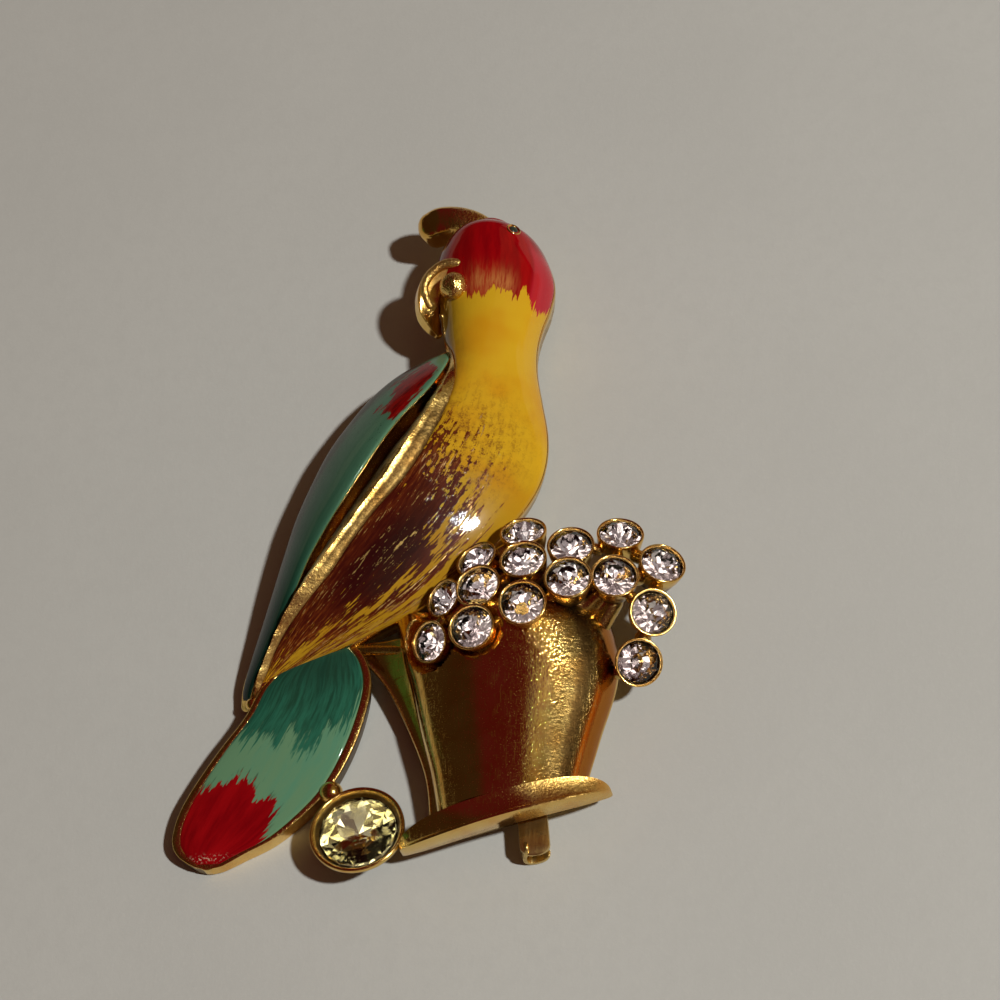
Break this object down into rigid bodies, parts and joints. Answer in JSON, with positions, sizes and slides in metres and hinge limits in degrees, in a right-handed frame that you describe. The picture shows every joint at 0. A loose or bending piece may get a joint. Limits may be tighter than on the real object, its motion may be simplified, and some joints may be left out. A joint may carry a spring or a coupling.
{
  "type": "bird brooch",
  "caption": "Figural brooch of a bird beside a flowerpot: gilt casting, brushed enamel, clear stones in round cups and a straight pin at the back.",
  "frame": {"origin": "under the middle of the brooch's bounding box, on the surface that it lies on, back down", "axes": "+Y runs from the pot's foot to the bird's head, +X to the wearer's left as the front is seen, +Z out of the front, away from the cloth"},
  "size_m": [0.0483, 0.0728, 0.0106],
  "materials": {
    "gilt_metal": "polished gilt plating on white metal",
    "red_enamel": "glossy brushed enamel",
    "yellow_enamel": "glossy brushed enamel, shaded with dark red-brown",
    "teal_enamel": "glossy brushed enamel",
    "seafoam_enamel": "glossy brushed enamel",
    "dark_bead": "glossy",
    "pin_metal": "plated wire and strip",
    "straw_crystal": "cut glass, foiled behind",
    "clear_crystal": "cut glass, foiled behind"
  },
  "bodies": {
    "root": {"casting": "gilt_metal", "head_enamel": "red_enamel", "body_enamel": "yellow_enamel", "wing_enamel": "teal_enamel", "tail_enamel": "seafoam_enamel", "eye": "dark_bead", "pin_back": "pin_metal", "tail_stone": "straw_crystal", "stone_01": "clear_crystal", "stone_02": "clear_crystal", "stone_03": "clear_crystal", "stone_04": "clear_crystal", "stone_05": "clear_crystal", "stone_06": "clear_crystal", "stone_07": "clear_crystal", "stone_08": "clear_crystal", "stone_09": "clear_crystal", "stone_10": "clear_crystal", "stone_11": "clear_crystal", "stone_12": "clear_crystal", "stone_13": "clear_crystal", "stone_14": "clear_crystal", "stone_15": "clear_crystal"}
  },
  "joints": []
}
